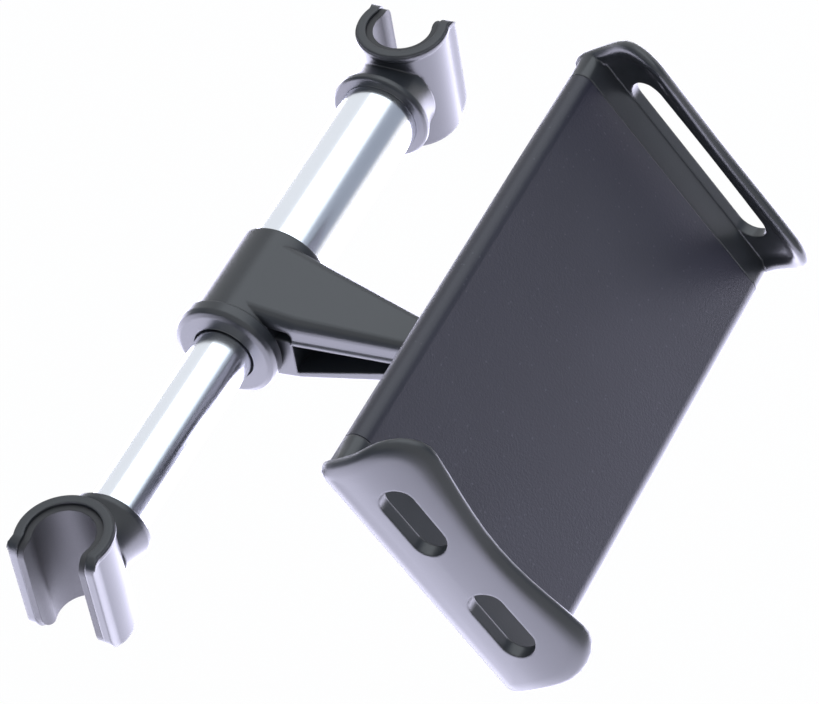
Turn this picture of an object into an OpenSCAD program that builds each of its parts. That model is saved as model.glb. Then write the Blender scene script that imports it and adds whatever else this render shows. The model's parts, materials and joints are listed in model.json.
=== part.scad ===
// Headrest tablet mount: a sprung telescopic rod with a hook at each end, an arm on a hub,
// a ball joint behind the tray, and a tray whose two jaws slide out on sprung rails.
// The origin is on the axis of the right headrest post, level with the rod.
// +X runs out along the rod, +Z up along the posts, and the tray faces -Y.

/* [Rod] */
// Distance between the two posts with the rod fully out
post_spacing = 167; // [150:0.5:185]
// Distance from the right post to the middle of the hub
hub_offset = 82.6; // [76:0.2:90]
// Outer diameter of the large tube
big_tube_d = 19; // [18.4:0.1:20]
// Outer diameter of the small tube
small_tube_d = 14; // [13:0.1:14.4]
// Wall of both tubes
tube_wall = 1.2; // [1:0.1:1.4]
// How far the rod shortens against its spring
rod_travel = 40; // [20:1:44]

/* [Hooks] */
// Radius of the post that the rubber pads close on
post_r = 7; // [6:0.1:7.6]
// Thickness of the rubber pads
pad_t = 1.6; // [1.2:0.1:2]
// Wall of the hook shell outside the pad
shell_t = 2; // [1.6:0.1:2.6]
// Height of the hooks along the post
hook_h = 29; // [24:0.5:34]
// How far the jaws of a hook reach past the post's axis
hook_reach = 6.8; // [6:0.2:10]
// How far the throat of a hook closes in on each side
throat_in = 0.6; // [0.4:0.1:1]
// How far the tips flare back out
tip_out = 0.3; // [0.2:0.1:1.6]
// How far the raised rim stands out of the shell
rim_out = 0.5; // [0.3:0.1:0.8]
// Distance from a post's axis to the face of the hook's collar
collar_reach = 16.6; // [15.5:0.5:19]
// How far a collar stands out of its tube
collar_lip = 2.6; // [2.2:0.1:3]

/* [Hub and arm] */
// Length of the hub with its end ring
hub_len = 29.4; // [28:0.2:34]
// Wall of the hub round the large tube
hub_wall = 1.8; // [1.6:0.1:2.4]
// Width of the end ring along the rod
ring_w = 4.5; // [4:0.1:5.5]
// How far the end ring stands out of the hub
ring_out = 1.2; // [0.8:0.1:1.6]
// Distance from the rod's axis to the ball's centre
arm_reach = 64.6; // [60:1:72]
// Width of the arm where it leaves the hub
arm_root_w = 23.6; // [20:0.2:26]
// Width of the arm at its tip
arm_tip_w = 7.4; // [6.6:0.1:9]
// Height of the arm at its tip
arm_tip_h = 9.6; // [9:0.2:11]
// Thickness of the web in the middle of the arm
arm_web = 2.4; // [1.6:0.2:4]
// Thickness of the arm's lower flange
flange_t = 3; // [2.4:0.1:3.6]

/* [Ball joint] */
// Diameter of the ball
ball_d = 17; // [16:0.1:17.4]
// Diameter of the neck behind the ball
neck_d = 7.2; // [6:0.1:7.6]
// Thickness of the seat between the ball and its socket
seat_t = 0.9; // [0.7:0.1:1.1]
// Outer diameter of the lock nut
nut_d = 29; // [27.6:0.2:31]
// Number of grips round the lock nut
nut_grips = 12; // [8:1:16]
// Angle between the tray's face and the upright posts
tray_tilt = 33; // [0:1:36]

/* [Tray] */
// Length of the tray body between its two seams
tray_len = 114; // [105:1:125]
// Width of the tray over its rounded long sides
tray_w = 69; // [66.5:0.5:74]
// Thickness of the tray
tray_t = 7; // [6.8:0.1:8.6]
// Radius of the tray's rounded long edges
tray_edge_r = 3.3; // [2.4:0.1:4]
// Wall of the tray's front and back
tray_wall = 1.6; // [1.4:0.1:1.8]
// How far each jaw slides out
jaw_travel = 40; // [20:1:42]

/* [Jaws] */
// Height of the jaws above the tray's face
jaw_h = 17; // [14:0.1:22]
// Thickness of a jaw's wall
jaw_t = 3.8; // [3.4:0.1:5]
// Distance from the seam to the outside of the jaw's wall
jaw_base = 10; // [8.5:0.1:12]
// How far the top of a jaw leans in over the tray
jaw_lean = 6; // [3:0.1:7]
// How far a jaw stands out past the tray on each side
jaw_flare = 0.4; // [0.2:0.1:2.2]
// Radius of a jaw's top corners
jaw_corner_r = 9.5; // [6:0.5:12]
// How far a jaw's wall reaches below the tray's back
jaw_drop = 1.6; // [0.4:0.1:2.4]
// How far the middle of a jaw's rim dips
rim_dip = 2.5; // [0:0.1:4]
// How much less the middle of a jaw leans in
jaw_bow = 1; // [0:0.1:2]
// Depth of the panel inside a jaw's rim
panel_depth = 0.7; // [0.3:0.1:1]
// Height of the slots in the jaws
slot_h = 9; // [7:0.2:9.6]
// Height of each short slot in the left jaw
short_slot_h = 8.3; // [6:0.1:9]
// Length of the long slot in the right jaw
long_slot_l = 48; // [40:1:52]
// Length of each short slot in the left jaw
short_slot_l = 18.6; // [14:0.2:22]
// Distance between the middles of the short slots
short_slot_gap = 30.8; // [28:0.2:33]

/* [Hidden] */

$fn = 64;
eps = 0.01;

// Gaps: between pieces pressed or screwed together, round a shaft that turns or slides,
// and between faces of pieces that move past each other
press_gap = 0.02;
run_gap = 0.05;
face_gap = 0.3;

plastic = [0.13, 0.13, 0.145];
tray_colour = [0.17, 0.165, 0.19];
rubber = [0.1, 0.1, 0.11];
metal = [0.8, 0.82, 0.86];
steel = [0.62, 0.63, 0.66];
nylon = [0.75, 0.75, 0.72];

// Rod
big_r = big_tube_d / 2;
big_bore_r = big_r - tube_wall;
small_r = small_tube_d / 2;
small_bore_r = small_r - tube_wall;
hub_x = -hub_offset;
hub_r = big_r + hub_wall;
hub_left = hub_x - hub_len / 2;
ring_face = hub_left + ring_w;
socket_depth = collar_reach - (post_r + pad_t + shell_t) + 0.6;
big_tube_right = -collar_reach + socket_depth;
small_tube_left = -post_spacing - big_tube_right;
sleeve_l = hub_len / 2 - ring_w;
sleeve_end = ring_face + sleeve_l;
spigot_l = 14;
guide_flange_l = 6;
guide_shank_l = 12;
guide_left = sleeve_end + face_gap;
guide_right = guide_left + guide_flange_l;
spring_wire_r = 0.5;
spring_turns = 9;
right_spigot_end = big_tube_right - spigot_l;

// Hooks
hook_shell_r = post_r + pad_t + shell_t;
throat_x = 0.55 * hook_reach;
pad_inset = 0.8;
rim_h = 2.2;
collar_band = 1.6;
hook_corner_top = 3.2;
hook_corner_bottom = 5;

// Arm
arm_tip_y = -(arm_reach - ball_d / 2 - 4);
arm_root_y = 0;
arm_shoulder_y = -1.35 * hub_r;
arm_shoulder_w = 19;
arm_root_left = hub_len / 2 - ring_w - face_gap;
arm_top_round = 3;
arm_tip_round = 2.2;
arm_end_y = arm_tip_y + arm_tip_round + 0.6;
arm_bottom_round = 1;
arm_bottom_z = -(hub_r - 1.4);
tip_boss_r = 5.2;
tip_boss_l = 6;
stud_shank_r = 2.5;
stud_shank_l = 11;
skirt_low = 2.6;
skirt_tip_low = -0.6;
tip_solid_l = 8;
pocket_end_y = arm_tip_y + tip_solid_l;
lip_t = 1;
window_top = 6.6;
window_end = 3.6;
lip_r = 0.9;
lip_sunk = 0.5;

// Hub screw
hub_screw_r = 2;
hub_screw_socket_r = 1;
hub_screw_l = hub_wall + tube_wall;

// Ball joint
ball_r = ball_d / 2;
neck_r = neck_d / 2;
seat_in_r = ball_r + run_gap;
seat_out_r = seat_in_r + seat_t;
seat_low = 3.4;
cup_in_r = seat_out_r + run_gap;
cup_wall = 2.2;
cup_out_r = cup_in_r + cup_wall;
cup_low = -0.6;
cup_floor = 1.5;
nut_bore_r = cup_out_r + run_gap;
nut_lip_r = ball_r + 0.12;
nut_low = -3.4;
nut_opening_r = sqrt(pow(nut_lip_r, 2) - pow(nut_low, 2));
grip_cut_r = 2.2;
collet_slit_w = 1.2;

// Tray, in its own frame: x along the tray, y across it, z out of its face, ball centre at zero
back_z = cup_in_r + cup_floor;
face_z = back_z + tray_t;
nut_top = back_z - face_gap;
side_r = tray_edge_r;
half_len = tray_len / 2;
cavity_half_w = tray_w / 2 - side_r + 0.9;
cavity_low = back_z + tray_wall;
cavity_high = face_z - tray_wall;
back_half_w = cavity_half_w - press_gap;

// Rails and the lanes that they run in, across the tray
lane_side = 3.8;
lane_gap = 6;
lane_middle = 6.3;
rail_w = (cavity_half_w - lane_side - lane_gap - lane_middle) / 2;
outer_lane = cavity_half_w - lane_side - rail_w / 2;
inner_lane = lane_middle + rail_w / 2;
rail_low = cavity_low + face_gap;
rail_high = cavity_high - face_gap;
rail_t = rail_high - rail_low;
rail_mid = (rail_low + rail_high) / 2;
rail_grip = 35;
rail_l = jaw_travel + rail_grip;
rail_tip = half_len - rail_l;
stop_l = 3;
stop_x = rail_tip + stop_l + jaw_travel + face_gap;
guide_rib_t = 0.7;
guide_rib_inset = 4;
guide_rib_h = tray_t - 2 * tray_wall - 1.2;
peg_x = -half_len + 5;
peg_r = 1.4;
jaw_spring_wire_r = 0.35;
jaw_spring_r = rail_t / 2 - jaw_spring_wire_r;
jaw_spring_turns = 17;
screw_inner_x = nut_d / 2 + 5;
screw_inset = 10;
screw_outer_x = half_len - screw_inset;
screw_r = 1.1;
screw_head_r = 2.1;
screw_head_h = 1;
boss_r = 2.4;
screw_l = tray_t - 2.4;

// Jaw wall: the outline's corners, and how far each ring of its skin lies in from the outline
skin_proud = 0.12;
jaw_side_steps = 16;
jaw_top_steps = 10;
jaw_bottom_r = side_r;
jaw_rim_w = 3.2;
long_slot_low = 0.15;
short_slot_low = 0.8;
panel_step = 0.7;
skin_depths = [3.6, 6, 9];

// Where the ball's centre is, and the tray's frame turned to the tilt of the photograph
module in_tray() {
    translate([hub_x, -arm_reach, 0]) rotate([90 - tray_tilt, 0, 0]) children();
}

// The other end of the tray: the same piece turned half a turn about the tray's normal
module other_end() {
    rotate([0, 0, 180]) children();
}

// The left hook faces the other way at the far post
module at_left_post() {
    translate([-post_spacing, 0, 0]) mirror([1, 0, 0]) children();
}

module rod_along_x(r, x0, x1) {
    translate([x0, 0, 0]) rotate([0, 90, 0]) cylinder(r = r, h = x1 - x0);
}

module tube_along_x(r_out, r_in, x0, x1) {
    difference() {
        rod_along_x(r_out, x0, x1);
        rod_along_x(r_in, x0 - 1, x1 + 1);
    }
}

// A round wire swept along a helix about the X axis
module coil(r, wire_r, x0, x1, turns, per_turn = 10, sides = 6) {
    steps = turns * per_turn;
    run = x1 - x0 - 2 * wire_r;
    ring_points = [for (i = [0 : steps]) let (a = 360 * i / per_turn, x = x0 + wire_r + run * i / steps)
        for (k = [0 : sides - 1]) let (b = 360 * k / sides, d = r + wire_r * cos(b))
            [x + wire_r * sin(b), d * cos(a), d * sin(a)]];
    walls = [for (i = [0 : steps - 1], k = [0 : sides - 1]) let (m = (k + 1) % sides)
        [i * sides + k, i * sides + m, (i + 1) * sides + m, (i + 1) * sides + k]];
    first_cap = [for (k = [sides - 1 : -1 : 0]) k];
    last_cap = [for (k = [0 : sides - 1]) steps * sides + k];
    polyhedron(points = ring_points, faces = concat(walls, [first_cap, last_cap]), convexity = 8);
}

// Rod: two tubes, the guide on the small tube's end and the spring that pushes the hooks apart

module outer_tube() {
    color(metal) difference() {
        tube_along_x(big_r, big_bore_r, ring_face, big_tube_right);
        hub_screw_hole(hub_screw_r + press_gap);
    }
}

module inner_tube() {
    color(metal) tube_along_x(small_r, small_bore_r, small_tube_left, sleeve_end);
}

module tube_guide() {
    shank_r = small_bore_r - run_gap;
    spring_nose_r = small_bore_r - 1.2;
    color(nylon) difference() {
        union() {
            rod_along_x(big_bore_r - run_gap, guide_left, guide_right);
            rod_along_x(shank_r, guide_left - guide_shank_l, guide_left + eps);
            rod_along_x(spring_nose_r, guide_right - eps, guide_right + 3);
        }
        rod_along_x(spring_nose_r - 1.5, guide_left - guide_shank_l - 1, guide_right + 4);
    }
}

module return_spring() {
    color(steel) coil(
        small_bore_r + spring_wire_r - 0.4, spring_wire_r,
        guide_right + press_gap, right_spigot_end - press_gap, spring_turns
    );
}

// Hub and arm: one moulding with pockets on both sides of a web, and its end ring

module hub_screw_hole(r) {
    translate([hub_x, 0, -hub_r - 1]) cylinder(r = r, h = hub_wall + tube_wall + 2.4);
}

// Heights of the arm's pockets follow straight lines from the hub to the arm's tip
function along_arm(y, root, tip) = root + (tip - root) * (y + hub_r) / (pocket_end_y + hub_r);

// A slice of the arm at y, with its reach to the left and right, a top and a bottom, and rounded edges
module arm_slice(y, left_w, right_w, top, bottom, top_r) {
    for (side = [-1, 1]) {
        half_w = side < 0 ? left_w : right_w;
        translate([side * (half_w - top_r), y, top - top_r]) sphere(r = top_r, $fn = 24);
        translate([side * (half_w - arm_bottom_round), y, bottom + arm_bottom_round])
            sphere(r = arm_bottom_round, $fn = 12);
    }
}

// Height of the arm's top and bottom, and half its width, on straight lines to the tip
function arm_top(y) = hub_r - 0.1 + (arm_tip_h / 2 - hub_r + 0.1) * y / arm_end_y;
function arm_bottom(y) = arm_bottom_z + (-arm_tip_h / 2 - arm_bottom_z) * y / arm_end_y;

function arm_left(y) =
    (arm_tip_w + (arm_shoulder_w - arm_tip_w) * (y - arm_end_y) / (arm_shoulder_y - arm_end_y)) / 2;
function arm_right(y) = (arm_tip_w + (arm_root_w - arm_tip_w) * (y - arm_end_y) / (-hub_r - arm_end_y)) / 2;

module arm_slice_at(y, top_r) {
    arm_slice(y, arm_left(y), arm_right(y), arm_top(y), arm_bottom(y), top_r);
}

module arm_body() {
    hull() {
        arm_slice(arm_root_y, arm_root_left, arm_right(arm_root_y), arm_top(0), arm_bottom(0), arm_top_round);
        arm_slice_at(arm_shoulder_y, arm_top_round);
    }
    hull() {
        arm_slice_at(arm_shoulder_y, arm_top_round);
        arm_slice_at(arm_end_y, arm_tip_round);
    }
}

// The rounded lip along the lower edge of the arm's upper beam
module arm_lip() {
    for (side = [-1, 1]) hull() for (y = [arm_shoulder_y, pocket_end_y])
        translate([
            side < 0 ? lip_sunk - arm_left(y) : arm_right(y) - lip_sunk, y,
            along_arm(y, skirt_low, skirt_tip_low) + lip_r
        ]) sphere(r = lip_r, $fn = 12);
}

// The pockets on one side, cut from the web outwards: the long one between the skirt and the
// lower flange, the small window above the rib at the root, and the sliver under the flange
module arm_pockets() {
    flange_top_root = arm_bottom_z + flange_t;
    flange_top_tip = -arm_tip_h / 2 + flange_t - 0.4;
    depth = arm_root_w;
    pocket_root_y = -hub_r - window_end;
    window_bottom = along_arm(pocket_root_y, skirt_low, skirt_tip_low) + lip_t;
    translate([arm_web / 2, 0, 0]) rotate([90, 0, 90]) linear_extrude(depth) {
        polygon([
            [pocket_root_y, along_arm(pocket_root_y, skirt_low, skirt_tip_low)],
            [pocket_root_y, along_arm(pocket_root_y, flange_top_root, flange_top_tip)],
            [pocket_end_y, flange_top_tip],
            [pocket_end_y, skirt_tip_low]
        ]);
        polygon([
            [-0.6 * hub_r, window_top],
            [-0.6 * hub_r, window_bottom],
            [pocket_root_y, window_bottom],
            [pocket_root_y - 0.2, window_bottom + 0.5 * (window_top - window_bottom)],
            [-hub_r - 0.85 * window_end, window_top - 0.6]
        ]);
    }
}

module hub_arm() {
    color(plastic) difference() {
        union() {
            difference() {
                translate([hub_x, 0, 0]) {
                    arm_body();
                    arm_lip();
                }
                for (side = [0, 1]) translate([hub_x, 0, 0]) mirror([side, 0, 0]) arm_pockets();
            }
            rod_along_x(hub_r, ring_face, hub_left + hub_len);
            translate([hub_x, arm_tip_y, 0]) rotate([-90, 0, 0]) cylinder(r = tip_boss_r, h = tip_boss_l);
        }
        rod_along_x(big_r + press_gap, ring_face - 1, hub_left + hub_len + 1);
        translate([hub_x, arm_tip_y - 1, 0]) rotate([-90, 0, 0])
            cylinder(r = stud_shank_r + press_gap, h = stud_shank_l + 1 + face_gap);
        hub_screw_hole(hub_screw_r + press_gap);
    }
}

// The ring closes the hub's left end, and its sleeve guides the small tube inside the large one
module end_ring() {
    ring_r = hub_r + ring_out;
    chamfer = 0.35 * ring_w;
    bearing_r = small_r + run_gap;
    mouth_r = small_r + 0.45;
    color(plastic) translate([hub_left, 0, 0]) rotate([0, 90, 0]) rotate_extrude() polygon([
        [mouth_r, 0],
        [ring_r - chamfer, 0],
        [ring_r - 0.3 * chamfer, 0.3 * chamfer],
        [ring_r, chamfer],
        [ring_r, ring_w - 0.5],
        [ring_r - 0.5, ring_w],
        [big_bore_r - press_gap, ring_w],
        [big_bore_r - press_gap, ring_w + sleeve_l],
        [bearing_r, ring_w + sleeve_l],
        [bearing_r, 1.6],
        [mouth_r, 1.2]
    ]);
}

module hub_screw() {
    color(steel) difference() {
        translate([hub_x, 0, -hub_r + 0.3]) cylinder(r = hub_screw_r, h = hub_screw_l - 0.4);
        translate([hub_x, 0, -hub_r - 0.7]) cylinder(r = hub_screw_socket_r, h = 2.2, $fn = 6);
    }
}

// Hooks: a C-shaped saddle whose jaws pinch in at the throat and flare out at the tips

// How far a hook's jaw lies in or out from its circle, at a distance x past the post's axis
function jaw_bend(x) =
    -throat_in * (1 - cos(180 * min(x, throat_x) / throat_x)) / 2
    + tip_out * (1 - cos(180 * max(0, x - throat_x) / (hook_reach - throat_x))) / 2;

module saddle(r, reach, z0, z1) {
    steps = 12;
    edge = [for (i = [3 : steps]) let (x = hook_reach * i / steps) [x, r + jaw_bend(x)]];
    upper = concat([[0, r - 0.3]], edge, reach > hook_reach ? [[reach, r + jaw_bend(hook_reach)]] : []);
    last = len(upper) - 1;
    translate([0, 0, z0]) cylinder(r = r, h = z1 - z0);
    translate([0, 0, z0]) linear_extrude(z1 - z0)
        polygon(concat(upper, [for (i = [last : -1 : 0]) [upper[i][0], -upper[i][1]]]));
}

module saddle_wall(r_in, r_out, z0, z1) {
    difference() {
        saddle(r_out, hook_reach, z0, z1);
        saddle(r_in, hook_reach + 1, z0 - 1, z1 + 1);
    }
}

// The rounded bead round a hook's top: bottom, top and how far out each of its layers stands
rim_top = hook_h / 2;
rim_layers = [
    [rim_top - rim_h, rim_top - 0.8 * rim_h, 0.45 * rim_out],
    [rim_top - 0.8 * rim_h, rim_top - 0.3 * rim_h, rim_out],
    [rim_top - 0.3 * rim_h, rim_top - 0.12 * rim_h, 0.6 * rim_out]
];

// The outline that a hook has from the side, with large lower corners at the tips
module hook_side(h) {
    rotate([90, 0, 0]) translate([0, 0, -2 * hook_shell_r]) linear_extrude(4 * hook_shell_r) {
        translate([-collar_reach, -h / 2]) square([collar_reach + hook_reach - hook_corner_bottom, h]);
        translate([0, -h / 2 + hook_corner_bottom]) square([hook_reach, h - hook_corner_bottom - hook_corner_top]);
        translate([0, 0]) square([hook_reach - hook_corner_top, h / 2]);
        translate([hook_reach - hook_corner_bottom, -h / 2 + hook_corner_bottom]) circle(r = hook_corner_bottom);
        translate([hook_reach - hook_corner_top, h / 2 - hook_corner_top]) circle(r = hook_corner_top);
    }
}

// The collar runs from a band round the tube through a hollow neck into the back of the saddle
module hook_collar(tube_r) {
    band_r = tube_r + collar_lip;
    neck_r_mid = tube_r + 0.9;
    back_x = collar_reach - 0.75 * hook_shell_r;
    steps = 8;
    translate([-collar_reach, 0, 0]) rotate([0, 90, 0]) rotate_extrude() polygon(concat(
        [[0, 0], [band_r - 0.5, 0], [band_r, 0.5], [band_r, collar_band]],
        [for (i = [1 : steps]) let (f = i / steps)
            [band_r - (band_r - neck_r_mid) * sin(90 * f), collar_band + (back_x - collar_band) * f]],
        [[0, back_x]]
    ));
}

module hook_shell(tube_r, bore_r) {
    difference() {
        union() {
            intersection() {
                union() {
                    saddle_wall(post_r + pad_t + press_gap, hook_shell_r, -hook_h / 2, hook_h / 2);
                    for (layer = rim_layers)
                        saddle_wall(post_r + pad_t + press_gap, hook_shell_r + layer[2], layer[0], layer[1]);
                }
                hook_side(hook_h);
            }
            hook_collar(tube_r);
            rod_along_x(bore_r - press_gap, right_spigot_end, big_tube_right + eps);
        }
        translate([0, 0, -hook_h]) cylinder(r = post_r + pad_t + press_gap, h = 2 * hook_h);
        rod_along_x(bore_r - 2.4, right_spigot_end - 1, big_tube_right);
        difference() {
            rod_along_x(tube_r + press_gap, -collar_reach - 1, big_tube_right);
            rod_along_x(bore_r - press_gap, right_spigot_end - 1, big_tube_right + 1);
        }
    }
}

module hook_pad() {
    intersection() {
        saddle_wall(post_r, post_r + pad_t, -hook_h / 2 + pad_inset, hook_h / 2 - pad_inset);
        hook_side(hook_h - 2 * pad_inset);
    }
}

module right_hook() { color(plastic) hook_shell(big_r, big_bore_r); }
module right_pad() { color(rubber) hook_pad(); }
module left_hook() { color(plastic) at_left_post() hook_shell(small_r, small_bore_r); }
module left_pad() { color(rubber) at_left_post() hook_pad(); }

// Ball joint: the stud on the arm, the seat round the ball, and the nut on the tray's cup

module ball_stud() {
    tip_gap = arm_reach + arm_tip_y;
    color(steel) translate([hub_x, -arm_reach, 0]) {
        sphere(r = ball_r);
        rotate([-90, 0, 0]) {
            cylinder(r = neck_r, h = tip_gap - 1.2);
            translate([0, 0, tip_gap - 1.2]) cylinder(r = neck_r + 0.8, h = 1.2);
            translate([0, 0, tip_gap - eps]) cylinder(r = stud_shank_r, h = stud_shank_l + eps);
        }
    }
}

module ball_seat() {
    color(nylon) in_tray() difference() {
        intersection() {
            sphere(r = seat_out_r);
            translate([0, 0, seat_low]) cylinder(r = 2 * ball_r, h = 2 * ball_r);
        }
        sphere(r = seat_in_r);
        cylinder(r = 2.5, h = 2 * ball_r);
    }
}

module lock_nut() {
    nut_r = nut_d / 2;
    color(plastic) in_tray() difference() {
        translate([0, 0, nut_low]) cylinder(r = nut_r, h = nut_top - nut_low);
        translate([0, 0, cup_low - face_gap]) cylinder(r = nut_bore_r, h = nut_top - cup_low + 1);
        translate([0, 0, 0]) sphere(r = nut_lip_r);
        translate([0, 0, nut_low - 1]) cylinder(r = nut_opening_r, h = 1 + eps);
        for (i = [0 : nut_grips - 1]) rotate([0, 0, 360 * i / nut_grips])
            translate([nut_r + 0.9, 0, nut_low - 1]) cylinder(r = grip_cut_r, h = nut_top - nut_low - 1);
    }
}

// Tray: the front with both rounded long sides, the back with the cup, and the screws

module tray_section(half_w) {
    for (side = [-1, 1], z = [back_z + side_r, face_z - side_r])
        translate([side * (half_w - side_r), z]) circle(r = side_r);
    translate([-(half_w - side_r), back_z]) square([2 * (half_w - side_r), tray_t]);
    translate([-half_w, back_z + side_r]) square([2 * half_w, tray_t - 2 * side_r]);
}

// Draws a section, given across the tray and out of its face, along the tray from x0 to x1
module along_tray(x0, x1) {
    translate([x0, 0, 0]) rotate([90, 0, 90]) linear_extrude(x1 - x0) children();
}

module at_screws() {
    for (x = [-screw_outer_x, -screw_inner_x, screw_inner_x, screw_outer_x]) translate([x, 0, 0]) children();
}

module tray_front() {
    color(tray_colour) in_tray() difference() {
        union() {
            along_tray(-half_len, half_len) difference() {
                tray_section(tray_w / 2);
                translate([-cavity_half_w, back_z - 1]) square([2 * cavity_half_w, tray_t - tray_wall + 1]);
            }
            at_screws() translate([0, 0, cavity_low + press_gap])
                cylinder(r = boss_r, h = cavity_high - cavity_low);
            for (end = [0, 1]) rotate([0, 0, 180 * end])
                translate([stop_x, cavity_half_w - 2, rail_low]) cube([stop_l, 2.5, cavity_high - rail_low + 0.5]);
        }
        at_screws() translate([0, 0, back_z]) cylinder(r = screw_r + press_gap, h = screw_l + face_gap);
    }
}

module guide_ribs() {
    for (side = [-1, 1], lane = [outer_lane, inner_lane], edge = [-1, 1])
        if (lane == inner_lane || edge == -1)
            translate([guide_rib_inset - half_len,
                    side * (lane + edge * (rail_w / 2 + face_gap + guide_rib_t / 2)) - guide_rib_t / 2, cavity_low - eps])
                cube([tray_len - 2 * guide_rib_inset, guide_rib_t, guide_rib_h]);
}

module tray_back() {
    color(plastic) in_tray() difference() {
        union() {
            translate([-half_len, -back_half_w, back_z]) cube([tray_len, 2 * back_half_w, tray_wall]);
            guide_ribs();
            translate([0, 0, cup_low]) cylinder(r = cup_out_r, h = back_z - cup_low + eps);
        }
        sphere(r = cup_in_r);
        translate([0, 0, cup_low - 1]) cylinder(r = cup_in_r, h = 1 - cup_low);
        for (a = [0, 90]) rotate([0, 0, a])
            translate([-cup_out_r - 1, -collet_slit_w / 2, cup_low - 1])
                cube([2 * cup_out_r + 2, collet_slit_w, 4]);
        at_screws() translate([0, 0, back_z - 1]) cylinder(r = screw_r + press_gap, h = tray_wall + 2);
        at_screws() translate([0, 0, back_z - 1]) cylinder(r = screw_head_r + press_gap, h = screw_head_h + 1);
        for (side = [-1, 1]) translate([side * peg_x, side * outer_lane, back_z + 0.6])
            cylinder(r = peg_r + press_gap, h = tray_wall);
    }
}

module tray_screws() {
    color(steel) in_tray() at_screws() difference() {
        union() {
            translate([0, 0, back_z + 0.1]) cylinder(r = screw_head_r, h = screw_head_h - 0.1);
            translate([0, 0, back_z + 0.2]) cylinder(r = screw_r, h = screw_l - 0.2);
        }
        for (a = [0, 90]) rotate([0, 0, a]) translate([-1.3, -0.25, back_z - 1]) cube([2.6, 0.5, 1.6]);
    }
}

// A jaw's spring runs in its outer rail's lane, from a peg in the tray's back to the rail's tip
module spring_peg() {
    color(steel) translate([peg_x, outer_lane, back_z + 0.6 + press_gap])
        cylinder(r = peg_r, h = cavity_high - back_z - 0.6 - face_gap);
}

module right_spring_peg() { in_tray() spring_peg(); }
module left_spring_peg() { in_tray() other_end() spring_peg(); }

module jaw_spring() {
    color(steel) translate([0, outer_lane, rail_mid]) coil(
        jaw_spring_r, jaw_spring_wire_r,
        peg_x + peg_r + press_gap, rail_tip - press_gap, jaw_spring_turns, 9, 5
    );
}

module right_jaw_spring() { in_tray() jaw_spring(); }
module left_jaw_spring() { in_tray() other_end() jaw_spring(); }

// Jaws: a wall that leans in over the tray, drawn as rings of points that run round its outline.
// Each ring lies a distance in from the outline and a height out from the wall's middle surface.

jaw_low = back_z - jaw_drop;
jaw_top = face_z + jaw_h;
lean_curve = jaw_lean / pow(jaw_h, 2);

// Distance from the seam to the middle of the wall, at a height z
function wall_mid(z) = jaw_base - jaw_t / 2 - lean_curve * pow(z - face_z, 2) * (z > face_z ? 1 : 0.35);

// Half the wall's width at a height z, for a ring a distance d in from the outline. The wall stands
// a little proud of the base on every side.
function corner_cut(r, depth) = depth <= 0 ? 0 : r - sqrt(max(0, r * r - depth * depth));
function wall_half_w(z, d) =
    let (
        rise = min(1, max(0, (z - face_z) / (0.5 * jaw_h))),
        side = tray_w / 2 + skin_proud + jaw_flare * (1 - cos(180 * rise)) / 2,
        top_r = max(0, jaw_corner_r - d),
        low_r = max(0, jaw_bottom_r - d)
    )
    side - d
    - corner_cut(top_r, z - (jaw_top - max(d, jaw_corner_r)))
    - corner_cut(low_r, (jaw_low + max(d, jaw_bottom_r)) - z);

// The rim dips towards its middle, where the wall also leans in less
function middle_share(y) = (1 + cos(min(180, abs(360 * y / tray_w)))) / 2;
function dipped(y, z) = z > face_z ? z - rim_dip * (z - face_z) / jaw_h * middle_share(y) : z;
function wall_point(y, z, out) =
    let (dz = dipped(y, z), rise = max(0, dz - face_z) / jaw_h)
    [wall_mid(dz) + jaw_bow * middle_share(y) * rise * rise + out, y, dz];

// One ring, counterclockwise seen from outside the tray: up one side, over the top, down and back
function wall_ring(d, out) =
    let (
        z0 = jaw_low + d,
        z1 = jaw_top - d,
        // steps crowd towards both ends, where the corners are
        rise = [for (i = [0 : jaw_side_steps]) z0 + (z1 - z0) * (1 - cos(180 * i / jaw_side_steps)) / 2]
    )
    concat(
        [for (i = [0 : jaw_side_steps]) wall_point(wall_half_w(rise[i], d), rise[i], out)],
        [for (k = [1 : jaw_top_steps - 1]) wall_point(wall_half_w(z1, d) * (1 - 2 * k / jaw_top_steps), z1, out)],
        [for (i = [jaw_side_steps : -1 : 0]) wall_point(-wall_half_w(rise[i], d), rise[i], out)],
        [for (k = [1 : jaw_top_steps - 1]) wall_point(-wall_half_w(z0, d) * (1 - 2 * k / jaw_top_steps), z0, out)]
    );

module jaw_wall() {
    half_t = jaw_t / 2;
    deepest = (jaw_top - jaw_low) / 2 - 0.5;
    // distance in from the outline and height out of the middle surface, from the outer face inwards
    skin = concat(
        [for (d = [deepest, skin_depths[2], skin_depths[1], skin_depths[0]]) [d, half_t]],
        [for (a = [70, 45, 20, 0, -20, -45, -70]) [half_t * (1 - cos(a)), half_t * sin(a)]],
        [[jaw_rim_w / 2, -half_t], [jaw_rim_w, -half_t], [jaw_rim_w + panel_step, -half_t + panel_depth]],
        [for (d = [skin_depths[1], skin_depths[2], deepest]) [d, -half_t + panel_depth]]
    );
    rings = [for (s = skin) wall_ring(s[0], s[1])];
    count = len(rings[0]);
    last = len(rings) - 1;
    walls = [for (i = [0 : last - 1], k = [0 : count - 1]) let (m = (k + 1) % count)
        each [
            [i * count + k, (i + 1) * count + m, (i + 1) * count + k],
            [i * count + k, i * count + m, (i + 1) * count + m]
        ]];
    mids = [for (end = [0, last]) wall_point(0, (jaw_low + jaw_top) / 2, skin[end][1])];
    fans = [for (k = [0 : count - 1]) let (m = (k + 1) % count)
        each [
            [(last + 1) * count, m, k],
            [(last + 1) * count + 1, last * count + k, last * count + m]
        ]];
    translate([half_len, 0, 0])
        polyhedron(points = concat([for (r = rings) each r], mids), faces = concat(walls, fans), convexity = 6);
}

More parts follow.
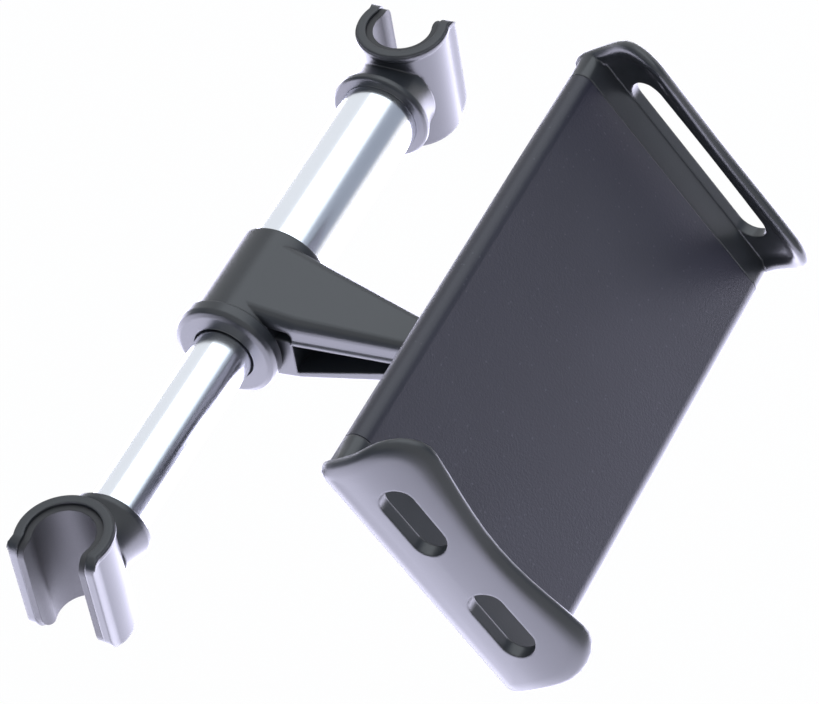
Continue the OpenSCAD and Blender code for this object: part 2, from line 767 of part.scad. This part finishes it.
module slot_through(length, height, y, low) {
    along_tray(half_len + 1, half_len + jaw_base + 2) {
        for (side = [-1, 1])
            translate([y + side * (length - height) / 2, face_z + low + height / 2]) circle(r = height / 2);
        translate([y - (length - height) / 2, face_z + low]) square([length - height, height]);
    }
}

// A jaw without its slots: the base that carries on the tray's section, the wall and two rails
module plain_jaw() {
    base_gap = 0.15;
    base_end = half_len + jaw_base - jaw_t / 2 - 0.05;
    along_tray(half_len + base_gap, base_end) tray_section(tray_w / 2);
    jaw_wall();
    for (lane = [outer_lane, -inner_lane])
        translate([rail_tip, lane - rail_w / 2, rail_low]) cube([rail_l + 2, rail_w, rail_t]);
    // the stop at the outer rail's end
    translate([rail_tip, outer_lane, rail_low]) cube([stop_l, cavity_half_w - outer_lane - face_gap, rail_t]);
}

module right_jaw() {
    color(plastic) in_tray() difference() {
        plain_jaw();
        slot_through(long_slot_l, slot_h, 0, long_slot_low);
    }
}

module left_jaw() {
    color(plastic) in_tray() other_end() difference() {
        plain_jaw();
        for (side = [-1, 1])
            slot_through(short_slot_l, short_slot_h, side * short_slot_gap / 2, short_slot_low);
    }
}

outer_tube();
inner_tube();
tube_guide();
return_spring();
hub_arm();
end_ring();
hub_screw();
right_hook();
right_pad();
left_hook();
left_pad();
ball_stud();
ball_seat();
lock_nut();
tray_front();
tray_back();
tray_screws();
right_jaw();
left_jaw();
right_jaw_spring();
left_jaw_spring();
right_spring_peg();
left_spring_peg();
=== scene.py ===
"""Headrest tablet mount: black satin mouldings, two polished tubes, and a speckled charcoal tray."""
import json
import math

import bmesh
import bpy
from mathutils import Matrix, Vector


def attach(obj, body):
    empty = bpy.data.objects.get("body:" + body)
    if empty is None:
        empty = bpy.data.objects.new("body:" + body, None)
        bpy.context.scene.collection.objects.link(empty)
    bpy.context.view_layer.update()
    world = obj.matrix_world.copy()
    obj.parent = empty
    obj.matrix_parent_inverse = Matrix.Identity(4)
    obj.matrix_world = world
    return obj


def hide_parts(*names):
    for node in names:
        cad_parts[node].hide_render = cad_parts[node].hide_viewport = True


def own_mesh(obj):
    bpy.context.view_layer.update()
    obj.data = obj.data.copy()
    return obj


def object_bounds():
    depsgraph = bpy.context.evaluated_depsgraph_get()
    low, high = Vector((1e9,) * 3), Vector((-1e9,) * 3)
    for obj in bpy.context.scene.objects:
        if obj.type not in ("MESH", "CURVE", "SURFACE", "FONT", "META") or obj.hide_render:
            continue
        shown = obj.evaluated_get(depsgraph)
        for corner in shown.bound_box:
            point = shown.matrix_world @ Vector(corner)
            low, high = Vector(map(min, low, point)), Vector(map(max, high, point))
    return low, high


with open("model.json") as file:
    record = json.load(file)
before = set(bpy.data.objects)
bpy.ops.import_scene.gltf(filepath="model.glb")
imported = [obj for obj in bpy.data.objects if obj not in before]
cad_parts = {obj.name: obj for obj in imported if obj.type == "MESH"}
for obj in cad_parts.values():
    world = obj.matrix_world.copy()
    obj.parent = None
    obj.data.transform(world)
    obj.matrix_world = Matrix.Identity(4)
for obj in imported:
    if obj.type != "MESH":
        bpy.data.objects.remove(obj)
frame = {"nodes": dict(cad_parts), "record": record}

MM = 0.001
cad_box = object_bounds()
nodes = frame["nodes"]
record = frame["record"]
bodies_of = {node: body for body, members in record["behaviour"]["bodies"].items() for node in members}
slots_of = {part["node"]: part["material_slot"] for part in record["subparts"]}

# Camera: its place, and the directions of the picture's right and down, fitted to the photograph
CAMERA_PLACE = Vector((-643.36, -405.69, 673.73)) * MM
CAMERA_RIGHT = Vector((0.42688, -0.89473, -0.13128))
CAMERA_DOWN = Vector((-0.68564, -0.22558, -0.69210))
CAMERA_LENS = 188.47
CAMERA_SENSOR = 36.0
CAMERA_NEAR = 0.05
CAMERA_FAR = 20.0

# Smooth copies of faceted nodes: edges sharper than this many degrees stay crisp
SHARP_ANGLE = 50.0
MERGE_DISTANCE = 0.002 * MM
SHORTEST_EDGE = 0.001 * MM

# Finishes: how strongly the painted edge highlight and the flecks show, and a fleck's radius as a share
# of its cell
EDGE_HIGHLIGHT_STRENGTH = 0.5
FLECK_STRENGTH = 0.4
FLECK_RADIUS = 0.32

# Floor: its depth below the object, half its width, and how white it is to the camera and in reflections
FLOOR_DROP = 170 * MM
FLOOR_HALF = 3.0
FLOOR_COLOUR = (0.9, 0.9, 0.9)
FLOOR_WHITE_SHARE = 0.95
WHITE = (1.0, 1.0, 1.0)

# Room: each dim wall has a direction, and the cosines at which it begins and at which it is full
ROOM_LEVEL = 0.95
ROOM_COLOUR = (0.93, 0.96, 1.0)
DIM_COLOUR = (0.36, 0.40, 0.48)
DIM_WALLS = (
    ((0.59, -0.72, 0.36), 0.84, 0.96),
    ((-0.96, 0.22, 0.17), 0.70, 0.92),
    ((-0.35, 0.88, 0.30), 0.80, 0.93),
)

# Overhead lamp: its place from the object's middle, its size in metres, and its power in watts
OVERHEAD_OFFSET = Vector((0.45, -0.12, 0.85))
OVERHEAD_SIZE = (1.3, 0.75)
OVERHEAD_POWER = 3.8
OVERHEAD_COLOUR = (0.84, 0.92, 1.0)

# Light tables, seen only in reflections: the place of each beside the object's middle, its size and power
TABLE_ABOVE_FLOOR = 2 * MM
TABLE_COLOUR = (0.77, 0.76, 1.0)
LIGHT_TABLES = {
    "light_table": ((-0.7, 0.72), (2.6, 2.45), 116.0),
    "light_table_front": ((0.2, -0.2), (0.5, 0.45), 1.2),
}


# Node helpers: an input is named with _ for each space

def new_material(name):
    material = bpy.data.materials.new(name)
    material.use_nodes = True
    tree = material.node_tree
    return material, tree, tree.nodes["Principled BSDF"]


def add_node(tree, kind, **settings):
    node = tree.nodes.new(kind)
    for name, value in settings.items():
        setattr(node, name, value)
    return node


def set_inputs(node, **values):
    for name, value in values.items():
        node.inputs[name.replace("_", " ")].default_value = value
    return node


def link_inputs(tree, node, **sockets):
    for name, socket in sockets.items():
        tree.links.new(socket, node.inputs[name.replace("_", " ")])


def new_group(name, inputs, outputs):
    group = bpy.data.node_groups.new(name, "ShaderNodeTree")
    for socket, value in inputs:
        made = group.interface.new_socket(socket, in_out="INPUT", socket_type="NodeSocketFloat")
        made.default_value = value
    for socket in outputs:
        group.interface.new_socket(socket, in_out="OUTPUT", socket_type="NodeSocketFloat")
    return group, group.nodes.new("NodeGroupInput"), group.nodes.new("NodeGroupOutput")


def place_group(tree, group, **values):
    return set_inputs(add_node(tree, "ShaderNodeGroup", node_tree=group), **values)


def math_node(tree, operation, first, second, clamp=False):
    node = add_node(tree, "ShaderNodeMath", operation=operation, use_clamp=clamp)
    for socket, value in zip(node.inputs, (first, second)):
        if isinstance(value, float):
            socket.default_value = value
        else:
            tree.links.new(value, socket)
    return node.outputs["Value"]


def object_position(tree):
    return add_node(tree, "ShaderNodeTexCoord").outputs["Object"]


def mix_colour(tree, mask, first, second):
    """Goes from the first to the second, each a plain colour or a socket, as the mask rises."""
    mixed = add_node(tree, "ShaderNodeMix", data_type="RGBA")
    link_inputs(tree, mixed, Factor=mask)
    for name, value in (("A", first), ("B", second)):
        socket = next(s for s in mixed.inputs if s.name == name and s.type == "RGBA")
        if isinstance(value, tuple):
            socket.default_value = value + (1.0,)
        else:
            tree.links.new(value, socket)
    return next(s for s in mixed.outputs if s.type == "RGBA")


def mix_shaders(tree, share, first, second):
    mixed = add_node(tree, "ShaderNodeMixShader")
    for socket, value in zip(mixed.inputs, (share, first, second)):
        tree.links.new(value, socket)
    return mixed.outputs["Shader"]


def spread(tree, value, low, high):
    """Turns a value from 0 to 1 into one from low to high."""
    ranged = add_node(tree, "ShaderNodeMapRange")
    link_inputs(tree, ranged, Value=value)
    set_inputs(ranged, To_Min=low, To_Max=high)
    return ranged.outputs["Result"]


def rounded_bump(tree, grain, strength, depth, edge_radius):
    """The grain as a bump, on top of a slightly rounded edge normal."""
    edge = add_node(tree, "ShaderNodeBevel", samples=6)
    set_inputs(edge, Radius=edge_radius)
    bump = add_node(tree, "ShaderNodeBump")
    set_inputs(bump, Strength=strength, Distance=depth)
    link_inputs(tree, bump, Height=grain.outputs["Height"], Normal=edge.outputs["Normal"])
    return bump.outputs["Normal"]


# Effects that several finishes share

def make_mould_grain():
    """The fine spark texture of moulded plastic: its height, and slow blotches of gloss."""
    group, into, out = new_group("mould_grain", [("Grain Scale", 2600.0), ("Blotch Scale", 60.0)],
                                 ["Height", "Blotch"])
    position = object_position(group)
    for result, scale, detail, roughness in (
            ("Height", "Grain Scale", 3.0, 0.6),
            ("Blotch", "Blotch Scale", 2.0, 0.5)):
        noise = add_node(group, "ShaderNodeTexNoise")
        set_inputs(noise, Detail=detail, Roughness=roughness)
        link_inputs(group, noise, Vector=position, Scale=into.outputs[scale])
        group.links.new(noise.outputs["Fac"], out.inputs[result])
    return group


def make_flecks():
    """Small pale flecks scattered in the plastic, as a mask."""
    group, into, out = new_group("flecks", [("Fleck Scale", 1500.0), ("Share", 0.05)], ["Mask"])
    cells = add_node(group, "ShaderNodeTexVoronoi", feature="F1")
    link_inputs(group, cells, Vector=object_position(group), Scale=into.outputs["Fleck Scale"])
    near = math_node(group, "LESS_THAN", cells.outputs["Distance"], FLECK_RADIUS)
    tone = add_node(group, "ShaderNodeSeparateColor")
    link_inputs(group, tone, Color=cells.outputs["Color"])
    chosen = math_node(group, "LESS_THAN", tone.outputs["Red"], into.outputs["Share"])
    link_inputs(group, out, Mask=math_node(group, "MULTIPLY", near, chosen))
    return group


def make_painted_edge_highlight():
    """A mask that rises on convex and concave edges, from the difference of a rounded normal, for a
    painted edge highlight.
    """
    group, into, out = new_group("painted_edge_highlight", [("Width", 0.4 * MM), ("Gain", 3.0)], ["Mask"])
    rounded = add_node(group, "ShaderNodeBevel", samples=4)
    link_inputs(group, rounded, Radius=into.outputs["Width"])
    geometry = add_node(group, "ShaderNodeNewGeometry")
    alike = add_node(group, "ShaderNodeVectorMath", operation="DOT_PRODUCT")
    group.links.new(rounded.outputs["Normal"], alike.inputs[0])
    group.links.new(geometry.outputs["Normal"], alike.inputs[1])
    apart = math_node(group, "SUBTRACT", 1.0, alike.outputs["Value"])
    link_inputs(group, out, Mask=math_node(group, "MULTIPLY", apart, into.outputs["Gain"], clamp=True))
    return group


mould_grain = make_mould_grain()
flecks = make_flecks()
painted_edge_highlight = make_painted_edge_highlight()


# Finishes

def make_black_plastic():
    material, tree, shader = new_material("black_satin_plastic")
    grain = place_group(tree, mould_grain, Grain_Scale=2400.0, Blotch_Scale=70.0)
    edges = place_group(tree, painted_edge_highlight, Width=0.5 * MM, Gain=2.0)
    # Painted highlight: convex and concave edges are mixed towards a paler grey, as a highlight on the
    # rims
    edge_highlight = math_node(tree, "MULTIPLY", edges.outputs["Mask"], EDGE_HIGHLIGHT_STRENGTH)
    colour = mix_colour(tree, grain.outputs["Blotch"], (0.014, 0.016, 0.020), (0.020, 0.023, 0.027))
    colour = mix_colour(tree, edge_highlight, colour, (0.06, 0.06, 0.07))
    roughness = spread(tree, grain.outputs["Blotch"], low=0.27, high=0.37)
    normal = rounded_bump(tree, grain, strength=0.25, depth=0.06 * MM, edge_radius=0.7 * MM)
    link_inputs(tree, shader, Base_Color=colour, Roughness=roughness, Normal=normal)
    set_inputs(shader, Specular_IOR_Level=0.6)
    return material


def make_tray_plastic():
    material, tree, shader = new_material("speckled_charcoal_plastic")
    grain = place_group(tree, mould_grain, Grain_Scale=1700.0, Blotch_Scale=40.0)
    fleck = place_group(tree, flecks, Fleck_Scale=1300.0, Share=0.03)
    speckled = math_node(tree, "MULTIPLY", fleck.outputs["Mask"], FLECK_STRENGTH)
    colour = mix_colour(tree, grain.outputs["Blotch"], (0.007, 0.007, 0.017), (0.011, 0.011, 0.023))
    colour = mix_colour(tree, speckled, colour, (0.055, 0.055, 0.075))
    roughness = spread(tree, grain.outputs["Blotch"], low=0.38, high=0.46)
    normal = rounded_bump(tree, grain, strength=0.45, depth=0.1 * MM, edge_radius=0.3 * MM)
    link_inputs(tree, shader, Base_Color=colour, Roughness=roughness, Normal=normal)
    set_inputs(shader, Specular_IOR_Level=0.58)
    return material


def make_pad_rubber():
    material, tree, shader = new_material("pad_rubber")
    grain = place_group(tree, mould_grain, Grain_Scale=1500.0, Blotch_Scale=90.0)
    colour = mix_colour(tree, grain.outputs["Blotch"], (0.020, 0.020, 0.022), (0.032, 0.032, 0.035))
    roughness = spread(tree, grain.outputs["Height"], low=0.48, high=0.62)
    normal = rounded_bump(tree, grain, strength=0.3, depth=0.08 * MM, edge_radius=0.3 * MM)
    link_inputs(tree, shader, Base_Color=colour, Roughness=roughness, Normal=normal)
    return material


def make_polished_tube():
    material, tree, shader = new_material("polished_tube")
    grain = place_group(tree, mould_grain, Grain_Scale=900.0, Blotch_Scale=25.0)
    colour = mix_colour(tree, grain.outputs["Blotch"], (0.80, 0.82, 0.86), (0.86, 0.88, 0.91))
    roughness = spread(tree, grain.outputs["Blotch"], low=0.17, high=0.21)
    link_inputs(tree, shader, Base_Color=colour, Roughness=roughness)
    set_inputs(shader, Metallic=1.0)
    return material


def make_spring_steel():
    material, tree, shader = new_material("spring_steel")
    grain = place_group(tree, mould_grain, Grain_Scale=3000.0, Blotch_Scale=150.0)
    colour = mix_colour(tree, grain.outputs["Blotch"], (0.46, 0.46, 0.48), (0.58, 0.58, 0.60))
    roughness = spread(tree, grain.outputs["Height"], low=0.22, high=0.34)
    normal = rounded_bump(tree, grain, strength=0.1, depth=0.03 * MM, edge_radius=0.15 * MM)
    link_inputs(tree, shader, Base_Color=colour, Roughness=roughness, Normal=normal)
    set_inputs(shader, Metallic=1.0)
    return material


def make_nylon():
    material, tree, shader = new_material("nylon")
    grain = place_group(tree, mould_grain, Grain_Scale=1800.0, Blotch_Scale=80.0)
    colour = mix_colour(tree, grain.outputs["Blotch"], (0.58, 0.58, 0.55), (0.66, 0.66, 0.62))
    roughness = spread(tree, grain.outputs["Blotch"], low=0.42, high=0.52)
    normal = rounded_bump(tree, grain, strength=0.2, depth=0.04 * MM, edge_radius=0.2 * MM)
    link_inputs(tree, shader, Base_Color=colour, Roughness=roughness, Normal=normal)
    return material


finishes = {
    "black_plastic": make_black_plastic(),
    "tray_plastic": make_tray_plastic(),
    "pad_rubber": make_pad_rubber(),
    "polished_tube": make_polished_tube(),
    "spring_steel": make_spring_steel(),
    "nylon": make_nylon(),
}


# Pieces

def finish_nodes():
    """Every carried-over node gets its finish in its own slot."""
    for name, thing in nodes.items():
        for slot in thing.material_slots:
            slot.material = finishes[slots_of[name]]


def smooth_moulding(node):
    """A merged copy of a faceted node, shaded smooth up to a sharp edge, that stands for the node."""
    mesh = nodes[node].data.copy()
    mesh.name = "smooth_" + node
    shape = bmesh.new()
    shape.from_mesh(mesh)
    bmesh.ops.remove_doubles(shape, verts=shape.verts[:], dist=MERGE_DISTANCE)
    bmesh.ops.dissolve_degenerate(shape, edges=shape.edges[:], dist=SHORTEST_EDGE)
    bmesh.ops.recalc_face_normals(shape, faces=shape.faces[:])
    for face in shape.faces:
        face.smooth = True
    for edge in shape.edges:
        edge.smooth = edge.calc_face_angle(0.0) < math.radians(SHARP_ANGLE)
    shape.to_mesh(mesh)
    shape.free()
    # The normals carried over from the node are mostly flat, and would hide the smooth shading
    carried_normals = mesh.attributes.get("custom_normal")
    if carried_normals:
        mesh.attributes.remove(carried_normals)
    mesh.materials.clear()
    mesh.materials.append(finishes[slots_of[node]])
    piece = bpy.data.objects.new("smooth_" + node, mesh)
    bpy.context.scene.collection.objects.link(piece)
    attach(piece, bodies_of[node])
    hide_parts(node)
    return piece


def press_with_rod(coil):
    """Gives the return spring a mesh of its own."""
    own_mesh(coil)


# Floor, lights and camera

def make_floor(height):
    """A plain pale floor, white to the camera and in reflections, that keeps the object's shadow.

    From underneath it is clear, so that the object can be looked at from below.
    """
    mesh = bpy.data.meshes.new("floor")
    shape = bmesh.new()
    bmesh.ops.create_grid(shape, x_segments=1, y_segments=1, size=FLOOR_HALF)
    shape.to_mesh(mesh)
    shape.free()
    mesh.transform(Matrix.Translation((0, 0, height)))
    material, tree, shader = new_material("pale_floor")
    set_inputs(shader, Base_Color=FLOOR_COLOUR + (1.0,), Roughness=0.9, Specular_IOR_Level=0.0)
    glow = add_node(tree, "ShaderNodeEmission")
    set_inputs(glow, Color=WHITE + (1.0,), Strength=1.0)
    seen = add_node(tree, "ShaderNodeLightPath")
    any_seen = math_node(tree, "MAXIMUM", seen.outputs["Is Camera Ray"], seen.outputs["Is Glossy Ray"])
    any_seen = math_node(tree, "MAXIMUM", any_seen, seen.outputs["Is Transmission Ray"])
    white_share = math_node(tree, "MULTIPLY", any_seen, FLOOR_WHITE_SHARE)
    above = mix_shaders(tree, white_share, shader.outputs["BSDF"], glow.outputs["Emission"])
    side = add_node(tree, "ShaderNodeNewGeometry")
    clear = add_node(tree, "ShaderNodeBsdfTransparent")
    both = mix_shaders(tree, side.outputs["Backfacing"], above, clear.outputs["BSDF"])
    link_inputs(tree, tree.nodes["Material Output"], Surface=both)
    mesh.materials.append(material)
    floor = bpy.data.objects.new("floor", mesh)
    bpy.context.scene.collection.objects.link(floor)


def make_world():
    """A pale room, white to the camera, that dims low at the front right, at the left and at the back."""
    world = bpy.data.worlds.new("studio")
    bpy.context.scene.world = world
    world.use_nodes = True
    tree = world.node_tree
    direction = add_node(tree, "ShaderNodeTexCoord").outputs["Generated"]
    colour = ROOM_COLOUR
    for towards, begins, full in DIM_WALLS:
        alike = add_node(tree, "ShaderNodeVectorMath", operation="DOT_PRODUCT")
        tree.links.new(direction, alike.inputs[0])
        alike.inputs[1].default_value = towards
        dimness = add_node(tree, "ShaderNodeMapRange", interpolation_type="SMOOTHSTEP")
        link_inputs(tree, dimness, Value=alike.outputs["Value"])
        set_inputs(dimness, From_Min=begins, From_Max=full)
        colour = mix_colour(tree, dimness.outputs["Result"], colour, DIM_COLOUR)
    room = tree.nodes["Background"]
    set_inputs(room, Strength=ROOM_LEVEL)
    link_inputs(tree, room, Color=colour)
    white = add_node(tree, "ShaderNodeBackground")
    set_inputs(white, Color=WHITE + (1.0,), Strength=1.0)
    seen = add_node(tree, "ShaderNodeLightPath").outputs["Is Camera Ray"]
    both = mix_shaders(tree, seen, room.outputs["Background"], white.outputs["Background"])
    link_inputs(tree, tree.nodes["World Output"], Surface=both)


def add_softbox(name, place, target, size, power, colour):
    lamp = bpy.data.lights.new(name, "AREA")
    lamp.shape = "RECTANGLE"
    lamp.size, lamp.size_y = size
    lamp.energy = power
    lamp.color = colour
    box = bpy.data.objects.new(name, lamp)
    box.location = place
    box.rotation_euler = (target - place).to_track_quat("-Z", "Y").to_euler()
    box.visible_camera = False
    bpy.context.scene.collection.objects.link(box)
    return box


def make_light_tables(middle, height):
    """Pale tables that face up, as the photograph's dark pieces reflect, and light nothing themselves."""
    for name, ((x, y), size, power) in LIGHT_TABLES.items():
        place = Vector((middle.x + x, middle.y + y, height))
        table = add_softbox(name, place, Vector((place.x, place.y, 0)), size, power, TABLE_COLOUR)
        table.visible_diffuse = False


def make_camera():
    camera = bpy.data.cameras.new("camera")
    camera.sensor_width = CAMERA_SENSOR
    camera.lens = CAMERA_LENS
    camera.clip_start = CAMERA_NEAR
    camera.clip_end = CAMERA_FAR
    holder = bpy.data.objects.new("camera", camera)
    forward = CAMERA_RIGHT.cross(CAMERA_DOWN)
    turn = Matrix((CAMERA_RIGHT, -CAMERA_DOWN, -forward)).transposed()
    holder.matrix_world = Matrix.Translation(CAMERA_PLACE) @ turn.to_4x4()
    bpy.context.scene.collection.objects.link(holder)
    bpy.context.scene.camera = holder


finish_nodes()
for node in ("right_jaw", "left_jaw", "right_jaw_spring", "left_jaw_spring"):
    smooth_moulding(node)
press_with_rod(smooth_moulding("return_spring"))

middle = (cad_box[0] + cad_box[1]) / 2
floor_height = cad_box[0].z - FLOOR_DROP
make_floor(floor_height)
make_world()
add_softbox("overhead", middle + OVERHEAD_OFFSET, middle, OVERHEAD_SIZE, OVERHEAD_POWER, OVERHEAD_COLOUR)
make_light_tables(middle, floor_height + TABLE_ABOVE_FLOOR)
make_camera()

bpy.context.scene.view_settings.view_transform = "Standard"
